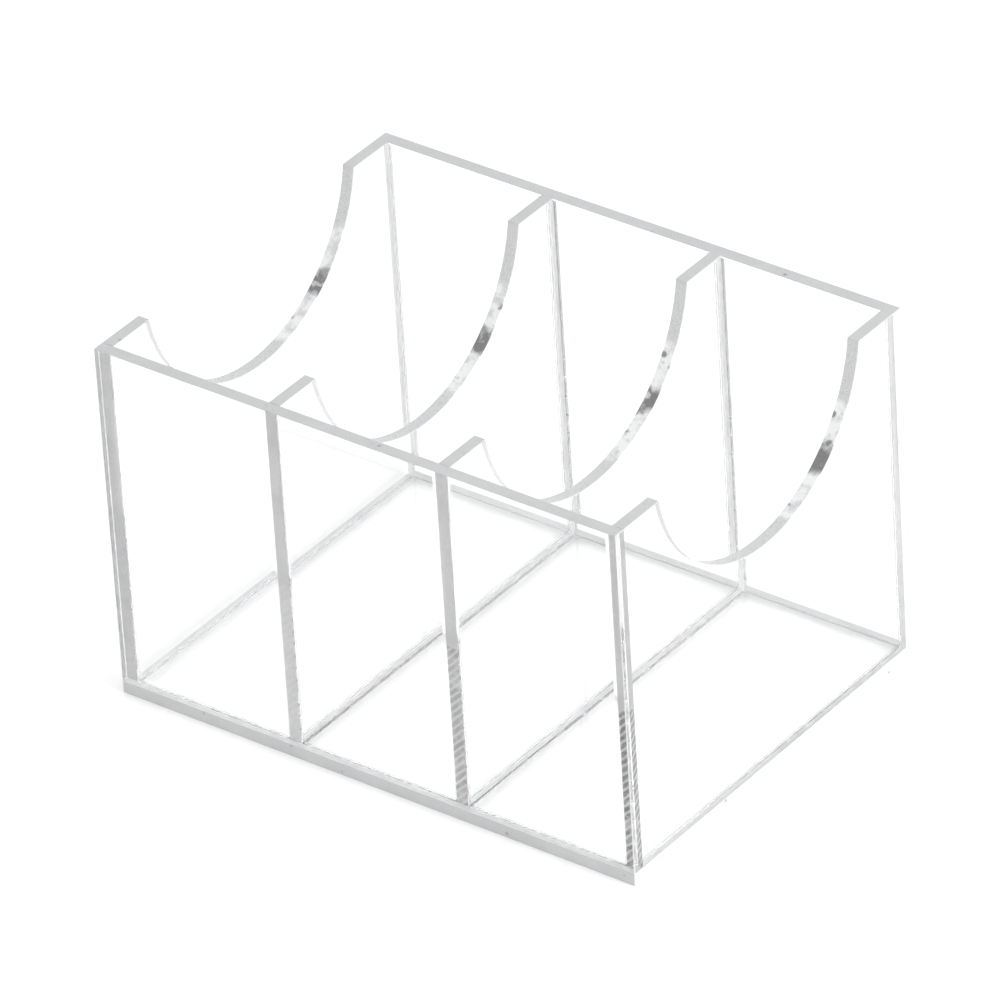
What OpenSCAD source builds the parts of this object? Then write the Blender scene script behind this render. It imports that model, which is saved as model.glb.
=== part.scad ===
// Free-standing chip rack: seven sheets of clear acrylic, cemented into three open-topped bays.
// Millimetres. The origin is the centre of the underside. +X runs along the row of bays,
// +Y runs from the front panel to the back panel and +Z is up.

/* [Bays] */
// Clear width of one bay, a little over the width of a chip
bay_w = 41.5; // [40:0.5:50]
// Outside depth of the rack, front to back
rack_depth = 103; // [90:1:130]
// Outside height of the rack
rack_height = 88; // [70:1:110]

/* [Sheet] */
// Thickness of the front, back, end and divider sheets
wall_t = 3; // [2:0.5:5]
// Thickness of the base plate
base_t = 3; // [2:0.5:6]

/* [Finger notches] */
// Width of a notch where it meets the top edge of its sheet
notch_w = 72; // [60:1:76]
// Depth of a notch below the top edge
notch_depth = 30.8; // [20:0.2:34]

/* [Cement joints] */
// Leg of the concave fillet that the cured cement leaves in an inside corner
bead_leg = 0.8; // [0.5:0.1:1.5]
// How far the upright fillets stop below the top edges
bead_stop = 0.6; // [0.4:0.1:3]

/* [Hidden] */

// The rack has three bays, so four uprights: 0 and 3 are the ends, 1 and 2 the dividers
bay_count = 3;
LEFT_END = 0;
LEFT_DIVIDER = 1;
RIGHT_DIVIDER = 2;
RIGHT_END = 3;

rack_w = bay_count * bay_w + (bay_count + 1) * wall_t;
wall_h = rack_height - base_t;
inner_depth = rack_depth - 2 * wall_t;
// Inside faces of the front and back panels, and the floor of the bays
front_y = -inner_depth / 2;
back_y = inner_depth / 2;
floor_z = base_t;

// The notch is an arc of a circle whose centre lies above the top edge
notch_r = (pow(notch_w / 2, 2) + pow(notch_depth, 2)) / (2 * notch_depth);
notch_z = rack_height - notch_depth + notch_r;
// A cutting tool is this much longer than the sheet on each side
over = 1;

// A fillet is the corner left over beside a circle that crosses both legs at their ends
bead_centre = 1.5 * bead_leg;
bead_r = norm([bead_centre - bead_leg, bead_centre]);
// The fillets that meet in a floor corner stop one leg short of it, except along the panels
floor_bead_l = inner_depth - 2 * bead_leg;
upright_bead_l = wall_h - bead_leg - bead_stop;

SHEET = [0.86, 0.90, 0.92, 0.45];
CEMENT = [0.74, 0.78, 0.80, 0.70];

// Left and right faces of an upright, counted from the left end
function left_x(upright) = -rack_w / 2 + upright * (bay_w + wall_t);
function right_x(upright) = left_x(upright) + wall_t;

// A sheet with its lowest corner at a point
module sheet(corner, size)
    translate(corner) cube(size);

module base_plate()
    color(SHEET) sheet([-rack_w / 2, -rack_depth / 2, 0], [rack_w, rack_depth, base_t]);

module front_panel()
    color(SHEET) sheet([-rack_w / 2, -rack_depth / 2, floor_z], [rack_w, wall_t, wall_h]);

module back_panel()
    color(SHEET) sheet([-rack_w / 2, back_y, floor_z], [rack_w, wall_t, wall_h]);

// An end panel or a divider: a sheet between the front and back panels, notched in its top edge
module notched_upright(upright)
    color(SHEET)
    difference() {
        sheet([left_x(upright), front_y, floor_z], [wall_t, inner_depth, wall_h]);
        translate([left_x(upright) - over, 0, notch_z])
            rotate([0, 90, 0])
                cylinder(r = notch_r, h = wall_t + 2 * over, $fn = 180);
    }

module left_end_panel() notched_upright(LEFT_END);
module left_divider() notched_upright(LEFT_DIVIDER);
module right_divider() notched_upright(RIGHT_DIVIDER);
module right_end_panel() notched_upright(RIGHT_END);

// Section of a cement fillet, with its legs along +X and +Y
module bead_section()
    difference() {
        square(bead_centre);
        translate([bead_centre, bead_centre]) circle(r = bead_r, $fn = 96);
    }

// A fillet on the floor of a bay. One leg points along heading and the other up,
// and the fillet runs from its corner towards heading - 90 degrees.
module floor_bead(corner, heading, length)
    color(CEMENT)
    translate(corner) rotate([90, 0, heading]) linear_extrude(length) bead_section();

// An upright fillet in a corner, with its legs along heading and heading + 90 degrees
module upright_bead(x, y, heading)
    color(CEMENT)
    translate([x, y, floor_z + bead_leg]) rotate([0, 0, heading])
        linear_extrude(upright_bead_l) bead_section();

module cement_front_to_base()
    for (bay = [0 : bay_count - 1])
        floor_bead([right_x(bay), front_y, floor_z], 90, bay_w);

module cement_back_to_base()
    for (bay = [0 : bay_count - 1])
        floor_bead([left_x(bay + 1), back_y, floor_z], -90, bay_w);

// Each upright has a fillet on each side that faces a bay
module upright_to_base(upright) {
    if (upright != RIGHT_END)
        floor_bead([right_x(upright), back_y - bead_leg, floor_z], 0, floor_bead_l);
    if (upright != LEFT_END)
        floor_bead([left_x(upright), front_y + bead_leg, floor_z], 180, floor_bead_l);
}

module upright_to_front(upright) {
    if (upright != RIGHT_END) upright_bead(right_x(upright), front_y, 0);
    if (upright != LEFT_END) upright_bead(left_x(upright), front_y, 90);
}

module upright_to_back(upright) {
    if (upright != RIGHT_END) upright_bead(right_x(upright), back_y, 270);
    if (upright != LEFT_END) upright_bead(left_x(upright), back_y, 180);
}

module cement_left_end_to_base() upright_to_base(LEFT_END);
module cement_left_divider_to_base() upright_to_base(LEFT_DIVIDER);
module cement_right_divider_to_base() upright_to_base(RIGHT_DIVIDER);
module cement_right_end_to_base() upright_to_base(RIGHT_END);

module cement_left_end_to_front() upright_to_front(LEFT_END);
module cement_left_divider_to_front() upright_to_front(LEFT_DIVIDER);
module cement_right_divider_to_front() upright_to_front(RIGHT_DIVIDER);
module cement_right_end_to_front() upright_to_front(RIGHT_END);

module cement_left_end_to_back() upright_to_back(LEFT_END);
module cement_left_divider_to_back() upright_to_back(LEFT_DIVIDER);
module cement_right_divider_to_back() upright_to_back(RIGHT_DIVIDER);
module cement_right_end_to_back() upright_to_back(RIGHT_END);

base_plate();
front_panel();
back_panel();
left_end_panel();
left_divider();
right_divider();
right_end_panel();
cement_front_to_base();
cement_back_to_base();
cement_left_end_to_base();
cement_left_divider_to_base();
cement_right_divider_to_base();
cement_right_end_to_base();
cement_left_end_to_front();
cement_left_divider_to_front();
cement_right_divider_to_front();
cement_right_end_to_front();
cement_left_end_to_back();
cement_left_divider_to_back();
cement_right_divider_to_back();
cement_right_end_to_back();
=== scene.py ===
"""Clear acrylic chip rack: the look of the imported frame, in metres.

The greys and the marks on the edges were tuned by comparing renders with the photograph. None of
them is a measured property of acrylic."""
import math

import bmesh  # noqa: E402
import bpy  # noqa: E402
from mathutils import Matrix, Vector  # noqa: E402


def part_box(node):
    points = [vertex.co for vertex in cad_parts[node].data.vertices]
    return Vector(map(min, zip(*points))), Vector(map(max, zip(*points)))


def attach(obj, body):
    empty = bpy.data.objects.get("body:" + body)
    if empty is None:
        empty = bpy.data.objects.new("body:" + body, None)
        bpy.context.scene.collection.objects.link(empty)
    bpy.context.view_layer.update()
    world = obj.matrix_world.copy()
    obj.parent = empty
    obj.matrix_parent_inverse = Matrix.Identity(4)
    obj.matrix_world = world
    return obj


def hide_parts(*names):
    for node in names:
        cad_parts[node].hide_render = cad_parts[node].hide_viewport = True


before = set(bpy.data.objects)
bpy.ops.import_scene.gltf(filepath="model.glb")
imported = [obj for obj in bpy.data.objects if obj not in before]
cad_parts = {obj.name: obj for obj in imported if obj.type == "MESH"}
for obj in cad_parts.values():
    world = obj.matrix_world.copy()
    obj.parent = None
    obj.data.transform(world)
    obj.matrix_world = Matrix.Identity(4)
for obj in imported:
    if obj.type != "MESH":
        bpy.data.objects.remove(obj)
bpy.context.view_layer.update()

MM = 0.001
# Places closer than this count as the same
EPS = 1e-6
# Mesh corners closer than this are merged, on the sheets and on the small cement fillets
SHEET_WELD = 1e-7
BEAD_WELD = 1e-8
# The cured cement joins two sheets with no air between them. The faces that meet are kept this
# far apart so that they don't lie on each other, and the one on the big face lets all light through.
JOINT_GAP = 0.012 * MM
# Scraped corners of the sheets, where two faces meet at more than the sharp angle
CHAMFER = 0.16 * MM
CHAMFER_SEGMENTS = 2
SHARP_ANGLE = math.radians(40)
SMOOTH_ANGLE = math.radians(15)
ARC_SEGMENTS = 120
# A face whose normal is this nearly along an axis is one of a sheet's flats, not a chamfer
FLAT = 0.95

FRONT, BACK = "front_panel", "back_panel"
UPRIGHTS = ("left_end_panel", "left_divider", "right_divider", "right_end_panel")
JOINT_NAMES = ("left_end", "left_divider", "right_divider", "right_end")
X, Y, Z = Vector((1, 0, 0)), Vector((0, 1, 0)), Vector((0, 0, 1))

# Material places on every sheet and on every cement fillet
FACE, CUT, GREY_BOND, CLEAR_BOND, NOTCH, STREAKED, FAINT_BOND = range(7)
BEAD_SURFACE, BEAD_BOND = range(2)


# ---------------------------------------------------------------- measures from the frame
base_lo, base_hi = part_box("base_plate")
upright_boxes = [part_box(name) for name in UPRIGHTS]
upright_x = [(lo.x, hi.x) for lo, hi in upright_boxes]
bead_lo, bead_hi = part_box("cement_left_end_to_base")
leg = bead_hi.z - bead_lo.z
bead_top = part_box("cement_left_end_to_front")[1].z
floor_z = base_hi.z
top_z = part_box(FRONT)[1].z
inner_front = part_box(FRONT)[1].y
inner_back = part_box(BACK)[0].y

# The notch's points all lie higher above the base than this, and the sheet's lower corners don't
NOTCH_CLEARANCE = 10 * MM


def notch_circle():
    """(centre height, radius, half width at the top) of the finger notch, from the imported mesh."""
    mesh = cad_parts[UPRIGHTS[0]].data
    points = [(v.co.y, v.co.z) for v in mesh.vertices]
    inside = [(y, z) for y, z in points if abs(y) < inner_back - EPS and z > floor_z + NOTCH_CLEARANCE]
    half = max(abs(y) for y, _ in inside)
    lowest = min(z for _, z in inside)
    depth = top_z - lowest
    radius = (half * half + depth * depth) / (2 * depth)
    return lowest + radius, radius, half


notch_z, notch_r, notch_half = notch_circle()


# ---------------------------------------------------------------- node helpers
ACRYLIC_IOR = 1.49
# Roughness of a sheet's face, and what the deepest scratch adds to it
FACE_ROUGHNESS = 0.004
SCRATCH_ROUGHNESS = 0.10
# Painted light: every cut edge gets this lighter tone where it is seen from inside the sheet, in place of
# the outside light that comes in through the cut edge
INNER_PAINTED_LIGHT_TONE = (0.93, 0.935, 0.94)
# Depth of an edge's fine grain, and the noise values between which its tone and gloss change
GRAIN_DEPTH = 0.02 * MM
GRAIN_TONE_LOW, GRAIN_TONE_HIGH = 0.30, 0.72
GRAIN_GLOSS_RANGE = (0.3, 0.7)
# Alpha below 1 lets part of the light straight through, so that joints look as faint as in the photograph
GREY_BOND_ALPHA, STREAKED_ALPHA, FAINT_BOND_ALPHA, CEMENT_ALPHA = 0.80, 0.72, 0.65, 0.3


class Nodes:
    """A short way to write a material's node tree. Texture scales are in repeats per metre."""

    def __init__(self, name):
        self.material = bpy.data.materials.new(name)
        self.material.use_nodes = True
        self.tree = self.material.node_tree
        self.shader = self.tree.nodes["Principled BSDF"]
        self.coords = self.tree.nodes.new("ShaderNodeTexCoord").outputs["Object"]

    def feed(self, socket, value):
        """Links a socket to another one, or sets its own value."""
        if isinstance(value, bpy.types.NodeSocket):
            self.tree.links.new(value, socket)
        else:
            socket.default_value = value

    def node(self, kind, **inputs):
        made = self.tree.nodes.new(kind)
        for key, value in inputs.items():
            self.feed(made.inputs[key.replace("_", " ")], value)
        return made

    def set(self, **inputs):
        for key, value in inputs.items():
            self.feed(self.shader.inputs[key.replace("_", " ")], value)

    def stretched(self, scale, rotation):
        made = self.node("ShaderNodeMapping", Vector=self.coords, Scale=scale, Rotation=rotation)
        return made.outputs["Vector"]

    def noise(self, scale, detail, roughness=0.5):
        made = self.node("ShaderNodeTexNoise", Vector=self.coords, Scale=scale, Detail=detail,
                         Roughness=roughness)
        return made.outputs["Fac"]

    def remap(self, value, between, to=(0.0, 1.0)):
        """The value carried from one range to another, and held inside it."""
        made = self.node("ShaderNodeMapRange", Value=value, From_Min=between[0], From_Max=between[1],
                         To_Min=to[0], To_Max=to[1])
        made.clamp = True
        return made.outputs["Result"]

    def patches(self, scale, detail, between, to=(0.0, 1.0)):
        """Soft-edged patches of noise."""
        return self.remap(self.noise(scale, detail), between, to)

    def spots(self, scale, inner, outer):
        """Round spots: 1 up to the inner radius, 0 beyond the outer one, both in cell widths."""
        made = self.node("ShaderNodeTexVoronoi", Vector=self.coords, Scale=scale)
        return self.remap(made.outputs["Distance"], (inner, outer), to=(1.0, 0.0))

    def scratches(self, scale, stretch, turn, width):
        """Hairlines along the borders of stretched cells."""
        made = self.node("ShaderNodeTexVoronoi", Vector=self.stretched(stretch, turn), Scale=scale)
        made.feature = "DISTANCE_TO_EDGE"
        return self.remap(made.outputs["Distance"], (0.0, width), to=(1.0, 0.0))

    def math(self, operation, *values):
        made = self.tree.nodes.new("ShaderNodeMath")
        made.operation = operation
        for socket, value in zip(made.inputs, values):
            self.feed(socket, value)
        return made.outputs["Value"]

    def product(self, first, second):
        return self.math("MULTIPLY", first, second)

    def colours(self, value, low, dark, high, light):
        """Dark up to the low value, light from the high one, and blended between them."""
        made = self.node("ShaderNodeValToRGB", Fac=value)
        for element, place, colour in zip(made.color_ramp.elements, (low, high), (dark, light)):
            element.position = place
            element.color = (*colour, 1.0)
        return made.outputs["Color"]

    def grain(self, scale, dark, light):
        """Fine noise, and a tone that follows it from dark to light."""
        fine = self.noise(scale, 3.0, 0.6)
        return fine, self.colours(fine, GRAIN_TONE_LOW, dark, GRAIN_TONE_HIGH, light)

    def mixed(self, factor, first, colour):
        made = self.tree.nodes.new("ShaderNodeMix")
        made.data_type = "RGBA"
        sockets = {socket.identifier: socket for socket in made.inputs}
        self.feed(sockets["Factor_Float"], factor)
        self.feed(sockets["A_Color"], first)
        self.feed(sockets["B_Color"], (*colour, 1.0))
        return next(socket for socket in made.outputs if socket.identifier == "Result_Color")

    def position(self, axis):
        return self.node("ShaderNodeSeparateXYZ", Vector=self.coords).outputs[axis]

    def bump(self, height, depth, strength):
        made = self.node("ShaderNodeBump", Height=height, Distance=depth, Strength=strength)
        return made.outputs["Normal"]

    def finish_edge(self, fine, tone, gloss, relief, alpha=1.0):
        """Sets the shader of a cut edge, with painted light that makes it lighter where it is seen from
        inside the sheet.
        """
        inside = self.tree.nodes.new("ShaderNodeNewGeometry").outputs["Backfacing"]
        # Painted light: the side of the edge seen from inside the sheet takes the lighter inner tone
        self.set(Base_Color=self.mixed(inside, tone, INNER_PAINTED_LIGHT_TONE), IOR=ACRYLIC_IOR, Alpha=alpha,
                 Roughness=self.remap(fine, GRAIN_GLOSS_RANGE, to=gloss),
                 Normal=self.bump(fine, GRAIN_DEPTH, relief))
        return self.material


def grey(tone):
    return tone, tone, tone


# ---------------------------------------------------------------- the materials
def acrylic_face():
    """Face of a sheet: clear, very slightly wavy, with hairline scratches in worn patches."""
    n = Nodes("acrylic_face")
    wave = n.noise(26.0, detail=1.0)
    scratch = n.scratches(95.0, stretch=(1.0, 14.0, 1.3), turn=(0.3, 0.5, 0.4), width=0.012)
    worn = n.patches(40.0, 3.0, (0.52, 0.7))
    rough = n.math("MULTIPLY_ADD", n.product(scratch, worn), SCRATCH_ROUGHNESS, FACE_ROUGHNESS)
    n.set(Base_Color=(0.998, 0.999, 0.999, 1.0), Roughness=rough, IOR=ACRYLIC_IOR,
          Transmission_Weight=1.0, Normal=n.bump(wave, depth=0.02 * MM, strength=0.6))
    return n.material


def clear_bond():
    """The part of a sheet's face that cement joins to its neighbour: nothing is seen there."""
    n = Nodes("clear_bond")
    haze = n.patches(600.0, 2.0, (0.3, 0.7), to=(0.3, 0.5))
    n.set(Base_Color=(0.95, 0.96, 0.96, 1.0), Roughness=haze, IOR=ACRYLIC_IOR, Alpha=0.0)
    return n.material


def cut_edge():
    """Free cut edge: satin grey with a fine grain, lighter clouds and a few dark specks."""
    n = Nodes("cut_edge")
    fine, tone = n.grain(2600.0, (0.42, 0.425, 0.43), (0.525, 0.53, 0.535))
    cloud = n.patches(130.0, 3.0, (0.3, 0.7), to=(0.0, 0.6))
    tone = n.mixed(cloud, tone, (0.535, 0.54, 0.545))
    speck = n.spots(420.0, inner=0.10, outer=0.24)
    where = n.patches(210.0, 2.0, (0.58, 0.68))
    tone = n.mixed(n.product(speck, where), tone, (0.24, 0.24, 0.25))
    return n.finish_edge(fine, tone, gloss=(0.32, 0.55), relief=0.5)


# The rear side of each notch, as the photograph shows it: a paler stretch, and in it a dark patch.
# Their ends are angles from the horizontal, seen from the notch's centre, and are blurred and ragged.
NOTCH_PALE = (math.radians(-32), math.radians(-76))
NOTCH_DARK = (math.radians(-47), math.radians(-56))
NOTCH_BLUR = math.radians(1.5)
NOTCH_RAGGED = 0.16


def notch_edge():
    """The notch's curved edge: grey at both ends, paler and spotted between them."""
    n = Nodes("notch_edge")
    fine, tone = n.grain(2600.0, (0.46, 0.465, 0.47), (0.58, 0.585, 0.59))
    angle = n.math("ARCTAN2", n.math("SUBTRACT", n.position("Z"), notch_z), n.position("Y"))
    ragged = n.math("MULTIPLY_ADD", n.noise(330.0, 2.0), NOTCH_RAGGED, -NOTCH_RAGGED / 2)
    angle = n.math("ADD", angle, ragged)

    def stretch(top, bottom):
        below_top = n.remap(angle, (top - NOTCH_BLUR, top + NOTCH_BLUR), to=(1.0, 0.0))
        above_bottom = n.remap(angle, (bottom - NOTCH_BLUR, bottom + NOTCH_BLUR))
        return n.product(below_top, above_bottom)

    pale = stretch(*NOTCH_PALE)
    uneven = n.remap(n.noise(300.0, 3.0, 0.6), (0.46, 0.60), to=(1.0, 0.15))
    tone = n.mixed(n.product(pale, uneven), tone, (0.73, 0.735, 0.74))
    speck = n.product(n.spots(380.0, inner=0.26, outer=0.38), n.patches(190.0, 1.0, (0.50, 0.56)))
    tone = n.mixed(n.product(speck, pale), tone, (0.22, 0.22, 0.23))
    dark = n.product(stretch(*NOTCH_DARK), n.patches(420.0, 2.0, (0.30, 0.42), to=(0.3, 1.0)))
    tone = n.mixed(dark, tone, (0.17, 0.17, 0.175))
    return n.finish_edge(fine, tone, gloss=(0.22, 0.40), relief=0.4)


def bonded_tone(n, dark, light):
    """Fine noise and the grey of a cut edge under cement, with small bubbles."""
    fine, tone = n.grain(1500.0, grey(dark), grey(light))
    bubble = n.product(n.spots(700.0, inner=0.05, outer=0.2), 0.4)
    return fine, n.mixed(bubble, tone, (0.80, 0.805, 0.81))


def bonded_edge(name, dark, light, alpha):
    """Cut edge inside a cement joint: faint grey with darker patches and bubbles."""
    n = Nodes(name)
    fine, tone = bonded_tone(n, dark, light)
    darker = n.patches(160.0, 3.0, (0.52, 0.75), to=(0.0, 0.6))
    tone = n.mixed(darker, tone, grey(dark - 0.08))
    return n.finish_edge(fine, tone, gloss=(0.4, 0.6), relief=0.5, alpha=alpha)


# The slanting marks that the photograph shows in the lower part of the three right-hand uprights'
# front joints. What they are on the real rack isn't known. They grow stronger from left to right.
STREAK_TOP = 43 * MM
STREAK_PERIOD = 2.0 * MM
STREAK_TILT = math.radians(45)
STREAK_GROWTH = (-28 * MM, 60 * MM)
# A wave texture's bands repeat every 2 pi / 20 of its scaled coordinate
WAVE_UNIT = math.pi / 10


def streaked_edge():
    """Cut edge inside a cement joint, with dark slanting marks."""
    n = Nodes("streaked_edge")
    fine, tone = bonded_tone(n, dark=0.56, light=0.64)
    scale = WAVE_UNIT / (STREAK_PERIOD * math.cos(STREAK_TILT))
    slanted = n.stretched((1.0, 1.0, 1.0), (0.0, STREAK_TILT, 0.0))
    wave = n.node("ShaderNodeTexWave", Vector=slanted, Scale=scale, Distortion=1.6, Detail=2.0,
                  Detail_Scale=1.5)
    wave.wave_type = "BANDS"
    wave.bands_direction = "Z"
    marks = n.remap(wave.outputs["Fac"], (0.50, 0.85), to=(1.0, 0.25))
    marks = n.product(marks, n.patches(380.0, 2.0, (0.3, 0.55), to=(0.45, 1.0)))
    marks = n.product(marks, n.remap(n.position("X"), STREAK_GROWTH, to=(0.05, 1.0)))
    tone = n.mixed(marks, tone, (0.04, 0.04, 0.045))
    return n.finish_edge(fine, tone, gloss=(0.4, 0.6), relief=0.5, alpha=STREAKED_ALPHA)


def cement():
    """Cured cement: clear with a little haze and tiny bubbles."""
    n = Nodes("cement")
    ripple = n.noise(420.0, 3.0)
    bubble = n.spots(900.0, inner=0.05, outer=0.22)
    rough = n.remap(ripple, (0.35, 0.7), to=(0.02, 0.14))
    normal = n.bump(n.math("ADD", ripple, bubble), depth=0.01 * MM, strength=0.3)
    n.set(Base_Color=(0.985, 0.99, 0.992, 1.0), Roughness=rough, IOR=ACRYLIC_IOR, Normal=normal,
          Alpha=CEMENT_ALPHA, Transmission_Weight=1.0)
    return n.material


def floor_surface():
    """Pale, matt tabletop."""
    n = Nodes("pale_floor")
    grain = n.noise(260.0, 4.0, 0.6)
    tone = n.colours(grain, 0.3, grey(0.955), 0.7, grey(0.98))
    n.set(Base_Color=tone, Roughness=0.6, Normal=n.bump(grain, depth=0.01 * MM, strength=0.2))
    return n.material


SHEET_MATERIALS = [acrylic_face(), cut_edge(),
                   bonded_edge("grey_bond", dark=0.46, light=0.53, alpha=GREY_BOND_ALPHA),
                   clear_bond(), notch_edge(), streaked_edge(),
                   bonded_edge("faint_bond", dark=0.70, light=0.76, alpha=FAINT_BOND_ALPHA)]
CEMENT_MATERIALS = [cement(), SHEET_MATERIALS[CLEAR_BOND]]


# ---------------------------------------------------------------- mesh helpers
def prism(outline, axis, low, high):
    """A closed prism from a 2-D outline, extruded from low to high along x, y or z."""
    bm = bmesh.new()
    rings = []
    for place in (low, high):
        ring = []
        for a, b in outline:
            xyz = {"x": (place, a, b), "y": (a, place, b), "z": (a, b, place)}[axis]
            ring.append(bm.verts.new(xyz))
        rings.append(ring)
    count = len(outline)
    bm.faces.new(rings[0])
    bm.faces.new(rings[1])
    for i in range(count):
        j = (i + 1) % count
        bm.faces.new((rings[0][i], rings[0][j], rings[1][j], rings[1][i]))
    bmesh.ops.recalc_face_normals(bm, faces=bm.faces)
    return bm


def rectangle(a0, b0, a1, b1):
    return [(a0, b0), (a1, b0), (a1, b1), (a0, b1)]


def notched_outline(y0, y1, z0, z1):
    """Side view of an upright: a rectangle whose top edge has the finger notch."""
    points = [(y0, z0), (y1, z0), (y1, z1)]
    start = math.atan2(top_z - notch_z, notch_half)
    sweep = math.pi + 2 * start
    for i in range(ARC_SEGMENTS + 1):
        angle = start - sweep * i / ARC_SEGMENTS
        points.append((notch_r * math.cos(angle), notch_z + notch_r * math.sin(angle)))
    points.append((y0, z1))
    return points


def chamfer(bm, bonded_planes):
    """Scrapes a sheet's sharp corners, apart from those in a plane (axis, place) that is cemented."""
    def is_free(edge):
        middle = (edge.verts[0].co + edge.verts[1].co) / 2
        return not any(abs(middle["xyz".index(axis)] - place) < EPS for axis, place in bonded_planes)

    edges = [e for e in bm.edges if len(e.link_faces) == 2
             and e.calc_face_angle(0.0) > SHARP_ANGLE and is_free(e)]
    bmesh.ops.bevel(bm, geom=edges, offset=CHAMFER, offset_type="OFFSET", segments=CHAMFER_SEGMENTS,
                    profile=0.5, affect="EDGES", clamp_overlap=True)


def cut_at(bm, axis, place):
    """Draws a line round a sheet where a joint's outline lies."""
    normal = {"x": X, "y": Y, "z": Z}[axis]
    geom = bm.verts[:] + bm.edges[:] + bm.faces[:]
    bmesh.ops.bisect_plane(bm, geom=geom, dist=SHEET_WELD, plane_co=normal * place, plane_no=normal)


def cut_beside_uprights(bm, lo, hi):
    """Draws the outlines of the uprights and of their fillets on a sheet from lo to hi."""
    for x0, x1 in upright_x:
        for place in (x0 - leg, x0, x1, x1 + leg):
            if lo.x + EPS < place < hi.x - EPS:
                cut_at(bm, "x", place)


def paint(bm, chooser):
    for face in bm.faces:
        face.material_index = chooser(face.calc_center_median(), face.normal)


def finish_piece(bm, name, node, materials):
    """Turns a bmesh into the piece that stands for a CAD node."""
    bmesh.ops.remove_doubles(bm, verts=bm.verts, dist=SHEET_WELD)
    mesh = bpy.data.meshes.new(name)
    bm.to_mesh(mesh)
    bm.free()
    for material in materials:
        mesh.materials.append(material)
    piece = bpy.data.objects.new(name, mesh)
    bpy.context.scene.collection.objects.link(piece)
    mesh.polygons.foreach_set("use_smooth", [True] * len(mesh.polygons))
    mesh.set_sharp_from_angle(angle=SMOOTH_ANGLE)
    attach(piece, "root")
    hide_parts(node)


def finish_sheet(bm, node, chooser):
    paint(bm, chooser)
    finish_piece(bm, node + "_sheet", node, SHEET_MATERIALS)


# ---------------------------------------------------------------- the sheets
def in_upright_x(x, margin=0.0):
    """True inside an upright's thickness, or within the margin beside it."""
    return any(x0 - margin < x < x1 + margin for x0, x1 in upright_x)


def in_frame_y(y):
    """True in the front or back panel's thickness and in the fillets along them."""
    return y < inner_front + leg or y > inner_back - leg


def build_base():
    lo, hi = base_lo, base_hi
    bm = prism(rectangle(lo.x, lo.y, hi.x, hi.y), "z", lo.z, hi.z)
    chamfer(bm, [("z", hi.z)])
    cut_beside_uprights(bm, lo, hi)
    for place in (inner_front, inner_front + leg, inner_back - leg, inner_back):
        cut_at(bm, "y", place)

    def chooser(middle, normal):
        if abs(normal.z) < FLAT:
            return CUT
        if normal.z > 0 and (in_upright_x(middle.x, leg) or in_frame_y(middle.y)):
            return CLEAR_BOND
        return FACE

    finish_sheet(bm, "base_plate", chooser)


def build_panel(node, inward):
    """The front panel, whose inner face looks along +Y (inward 1), or the back panel (inward -1).

    The front panel's ends are clear and the back panel's are grey: it looked nearest to the photograph."""
    lo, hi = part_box(node)
    z0 = lo.z + JOINT_GAP
    bottom, ends = (GREY_BOND, FACE) if node == FRONT else (FAINT_BOND, CUT)
    bm = prism(rectangle(lo.x, lo.y, hi.x, hi.y), "z", z0, hi.z)
    chamfer(bm, [("z", z0)])
    cut_beside_uprights(bm, lo, hi)
    cut_at(bm, "z", floor_z + leg)
    cut_at(bm, "z", bead_top)

    def chooser(middle, normal):
        if normal.z < -FLAT and middle.z < z0 + EPS:
            return bottom
        if abs(normal.x) > FLAT:
            return ends
        if normal.y * inward > FLAT:
            filleted = middle.z < floor_z + leg or (in_upright_x(middle.x, leg) and middle.z < bead_top)
            return CLEAR_BOND if in_upright_x(middle.x) or filleted else FACE
        return FACE if normal.y * inward < -FLAT else CUT

    finish_sheet(bm, node, chooser)


def build_upright(index):
    lo, hi = upright_boxes[index]
    y0, y1, z0 = lo.y + JOINT_GAP, hi.y - JOINT_GAP, lo.z + JOINT_GAP
    bm = prism(notched_outline(y0, y1, z0, hi.z), "x", lo.x, hi.x)
    chamfer(bm, [("z", z0), ("y", y0), ("y", y1)])
    for place in (floor_z + leg, bead_top, STREAK_TOP):
        cut_at(bm, "z", place)
    for place in (inner_front + leg, inner_back - leg):
        cut_at(bm, "y", place)
    # The side with no bay next to it: -1 on the left end panel, 1 on the right one
    outside = {0: -1, len(UPRIGHTS) - 1: 1}.get(index, 0)

    def chooser(middle, normal):
        if abs(normal.x) > FLAT:
            filleted = middle.z < floor_z + leg or (in_frame_y(middle.y) and middle.z < bead_top)
            return CLEAR_BOND if filleted and normal.x * outside <= 0 else FACE
        if middle.y < y0 + EPS:
            return STREAKED if middle.z < STREAK_TOP and index > 0 else GREY_BOND
        if middle.y > y1 - EPS or (normal.z < -FLAT and middle.z < z0 + EPS):
            return FAINT_BOND
        in_notch = abs(middle.y) < notch_half - CHAMFER and middle.z < top_z - CHAMFER
        return NOTCH if in_notch else CUT

    finish_sheet(bm, UPRIGHTS[index], chooser)


# ---------------------------------------------------------------- the cement fillets
# The hollow face of a fillet is an arc through the ends of its two legs
BEAD_CENTRE = 1.5 * leg
BEAD_RADIUS = math.hypot(BEAD_CENTRE - leg, BEAD_CENTRE)
BEAD_SEGMENTS = 12
# A mitred end leans 45 degrees from the fillet's run. The cosine of its lean lies between these
# two, and those of the other faces don't.
MITRE_LOW, MITRE_HIGH = 0.3, 0.9


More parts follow.
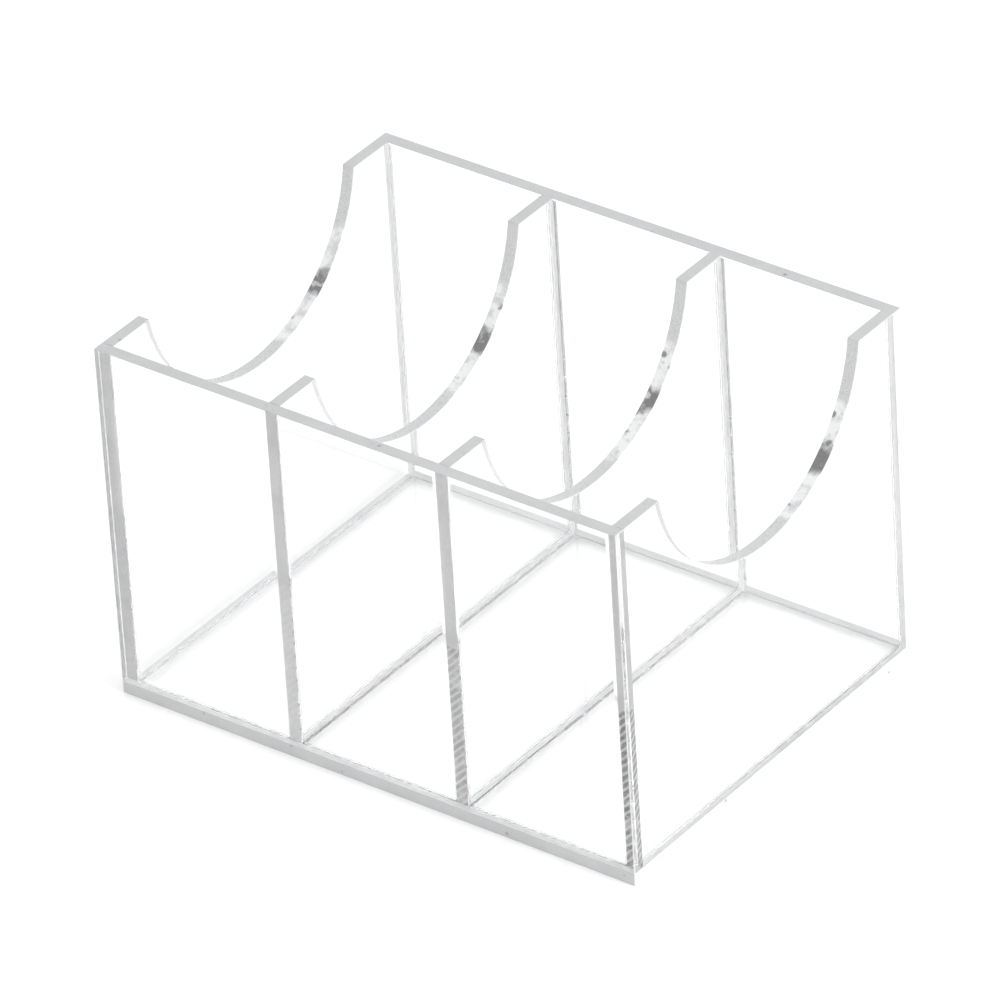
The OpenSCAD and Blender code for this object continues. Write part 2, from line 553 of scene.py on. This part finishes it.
def bead_outline():
    """Corner, leg along +u, hollow arc, leg along +v. The legs lie on the two sheets."""
    # The arc bulges towards the corner, so its angles are the ones that face it
    start = math.atan2(-BEAD_CENTRE, leg - BEAD_CENTRE) % (2 * math.pi)
    end = math.atan2(leg - BEAD_CENTRE, -BEAD_CENTRE) % (2 * math.pi)
    points = [(0.0, 0.0)]
    for i in range(BEAD_SEGMENTS + 1):
        angle = start + (end - start) * i / BEAD_SEGMENTS
        points.append((BEAD_CENTRE + BEAD_RADIUS * math.cos(angle),
                       BEAD_CENTRE + BEAD_RADIUS * math.sin(angle)))
    return points


def mitre(corner, along, across):
    """The plane at a corner that shares it out between a fillet along one way and one across."""
    return corner, (across - along).normalized()


def add_bead(target, corner, u_dir, v_dir, length, mitres):
    """A fillet from a corner point. It runs along u x v, and mitres cut its ends.

    Each mitre is (point, normal): what lies on the normal's side is cut off."""
    along = u_dir.cross(v_dir)
    bm = prism(bead_outline(), "z", 0.0, length)
    turn = Matrix((u_dir, v_dir, along)).transposed().to_4x4()
    bm.transform(Matrix.Translation(corner) @ turn)
    for point, normal in mitres:
        geom = bm.verts[:] + bm.edges[:] + bm.faces[:]
        cut = bmesh.ops.bisect_plane(bm, geom=geom, dist=BEAD_WELD, plane_co=point, plane_no=normal,
                                     clear_outer=True)
        edges = [g for g in cut["geom_cut"] if isinstance(g, bmesh.types.BMEdge)]
        bmesh.ops.contextual_create(bm, geom=edges)
    bmesh.ops.recalc_face_normals(bm, faces=bm.faces)
    for face in bm.faces:
        middle = face.calc_center_median() - corner
        on_sheet = abs(middle.dot(u_dir)) < EPS or abs(middle.dot(v_dir)) < EPS
        at_mitre = MITRE_LOW < abs(face.normal.dot(along)) < MITRE_HIGH
        face.material_index = BEAD_BOND if on_sheet or at_mitre else BEAD_SURFACE
    holder = bpy.data.meshes.new("bead")
    bm.to_mesh(holder)
    bm.free()
    target.from_mesh(holder)
    bpy.data.meshes.remove(holder)


def add_lying_bead(target, first, second, out):
    """A fillet on the base between two inner corners of a bay, beside a sheet that faces along out."""
    along = out.cross(Z)
    start, end = (first, second) if (second - first).dot(along) > 0 else (second, first)
    mitres = [mitre(start, along, out), mitre(start, along, Z),
              mitre(end, -along, out), mitre(end, -along, Z)]
    add_bead(target, start, out, Z, (end - start).length, mitres)


def finish_beads(bm, node):
    finish_piece(bm, node + "_fillet", node, CEMENT_MATERIALS)


def bay_sides(index):
    """The faces of an upright that look into a bay, as (x, direction)."""
    x0, x1 = upright_x[index]
    made = []
    if index < len(UPRIGHTS) - 1:
        made.append((x1, 1))
    if index > 0:
        made.append((x0, -1))
    return made


def panel_beads(where, inner_y, inward):
    """The fillets between the base and the front or back panel, one in each bay."""
    bm = bmesh.new()
    for (_, left), (right, _) in zip(upright_x, upright_x[1:]):
        add_lying_bead(bm, Vector((left, inner_y, floor_z)), Vector((right, inner_y, floor_z)), Y * inward)
    finish_beads(bm, f"cement_{where}_to_base")


def upright_floor_beads(index):
    """The fillets between the base and an upright."""
    bm = bmesh.new()
    for x, facing in bay_sides(index):
        add_lying_bead(bm, Vector((x, inner_front, floor_z)), Vector((x, inner_back, floor_z)), X * facing)
    finish_beads(bm, f"cement_{JOINT_NAMES[index]}_to_base")


def upright_standing_beads(index, where, inner_y, inward):
    """The fillets between an upright and the front or back panel."""
    bm = bmesh.new()
    for x, facing in bay_sides(index):
        corner = Vector((x, inner_y, floor_z))
        out, in_dir = X * facing, Y * inward
        u_dir, v_dir = (out, in_dir) if out.cross(in_dir).z > 0 else (in_dir, out)
        mitres = [mitre(corner, Z, out), mitre(corner, Z, in_dir)]
        add_bead(bm, corner, u_dir, v_dir, bead_top - floor_z, mitres)
    finish_beads(bm, f"cement_{JOINT_NAMES[index]}_to_{where}")


build_base()
build_panel(FRONT, 1)
build_panel(BACK, -1)
for number in range(len(UPRIGHTS)):
    build_upright(number)
panel_beads("front", inner_front, 1)
panel_beads("back", inner_back, -1)
for number in range(len(UPRIGHTS)):
    upright_floor_beads(number)
    upright_standing_beads(number, "front", inner_front, 1)
    upright_standing_beads(number, "back", inner_back, -1)


# ---------------------------------------------------------------- floor, light and camera
FLOOR_HALF = 6.0
FLOOR_THICKNESS = 0.05
FLOOR_GAP = 0.02 * MM
WORLD_STRENGTH = 1.04
# A low light to the right: it makes the right-hand ends vanish against the white, as in the photograph
KEY_PLACE = Vector((1.6, 0.1, 0.42))
KEY_AIM = Vector((0, 0, 0.04))
KEY_SIZE = (1.0, 0.6)
KEY_POWER = 25
CAMERA_PLACE = Vector((1.22357, -1.54478, 1.33124))
CAMERA_AZIMUTH = math.radians(38.43)
CAMERA_ELEVATION = math.radians(33.14)
CAMERA_ROLL = math.radians(-3.66)
CAMERA_LENS = 396.5
CAMERA_SENSOR = 36.0
CAMERA_CLIP = (0.05, 50.0)
# Light passes through many sheets before it leaves the rack, and each total reflection on the way
# counts as a glossy bounce
CLEAR_BOUNCES = 40
DIFFUSE_BOUNCES = 12


def build_floor():
    outline = rectangle(-FLOOR_HALF, -FLOOR_HALF, FLOOR_HALF, FLOOR_HALF)
    bm = prism(outline, "z", -FLOOR_THICKNESS, -FLOOR_GAP)
    mesh = bpy.data.meshes.new("studio_floor")
    bm.to_mesh(mesh)
    bm.free()
    mesh.materials.append(floor_surface())
    floor = bpy.data.objects.new("studio_floor", mesh)
    bpy.context.scene.collection.objects.link(floor)


def build_world():
    world = bpy.data.worlds.new("studio")
    world.use_nodes = True
    background = world.node_tree.nodes["Background"]
    background.inputs["Color"].default_value = (1.0, 1.0, 1.0, 1.0)
    background.inputs["Strength"].default_value = WORLD_STRENGTH
    bpy.context.scene.world = world


def build_key_light():
    data = bpy.data.lights.new("key", "AREA")
    data.shape = "RECTANGLE"
    data.size, data.size_y = KEY_SIZE
    data.energy = KEY_POWER
    light = bpy.data.objects.new("key", data)
    light.location = KEY_PLACE
    light.rotation_euler = (KEY_AIM - KEY_PLACE).to_track_quat("-Z", "Y").to_euler()
    bpy.context.scene.collection.objects.link(light)


def build_camera():
    data = bpy.data.cameras.new("camera")
    data.sensor_width = CAMERA_SENSOR
    data.lens = CAMERA_LENS
    data.clip_start, data.clip_end = CAMERA_CLIP
    camera = bpy.data.objects.new("camera", data)
    bpy.context.scene.collection.objects.link(camera)
    forward = Vector((-math.sin(CAMERA_AZIMUTH) * math.cos(CAMERA_ELEVATION),
                      math.cos(CAMERA_AZIMUTH) * math.cos(CAMERA_ELEVATION),
                      -math.sin(CAMERA_ELEVATION)))
    level = Vector((math.cos(CAMERA_AZIMUTH), math.sin(CAMERA_AZIMUTH), 0))
    up = level.cross(forward)
    right = level * math.cos(CAMERA_ROLL) + up * math.sin(CAMERA_ROLL)
    up = right.cross(forward)
    turn = Matrix((right, up, -forward)).transposed().to_4x4()
    camera.matrix_world = Matrix.Translation(CAMERA_PLACE) @ turn
    bpy.context.scene.camera = camera


def set_light_paths():
    paths = bpy.context.scene.cycles
    paths.max_bounces = CLEAR_BOUNCES
    paths.transmission_bounces = CLEAR_BOUNCES
    paths.glossy_bounces = CLEAR_BOUNCES
    paths.transparent_max_bounces = CLEAR_BOUNCES
    paths.diffuse_bounces = DIFFUSE_BOUNCES
    paths.blur_glossy = 0.0


build_floor()
build_world()
build_key_light()
build_camera()
set_light_paths()
bpy.context.scene.view_settings.view_transform = "Standard"
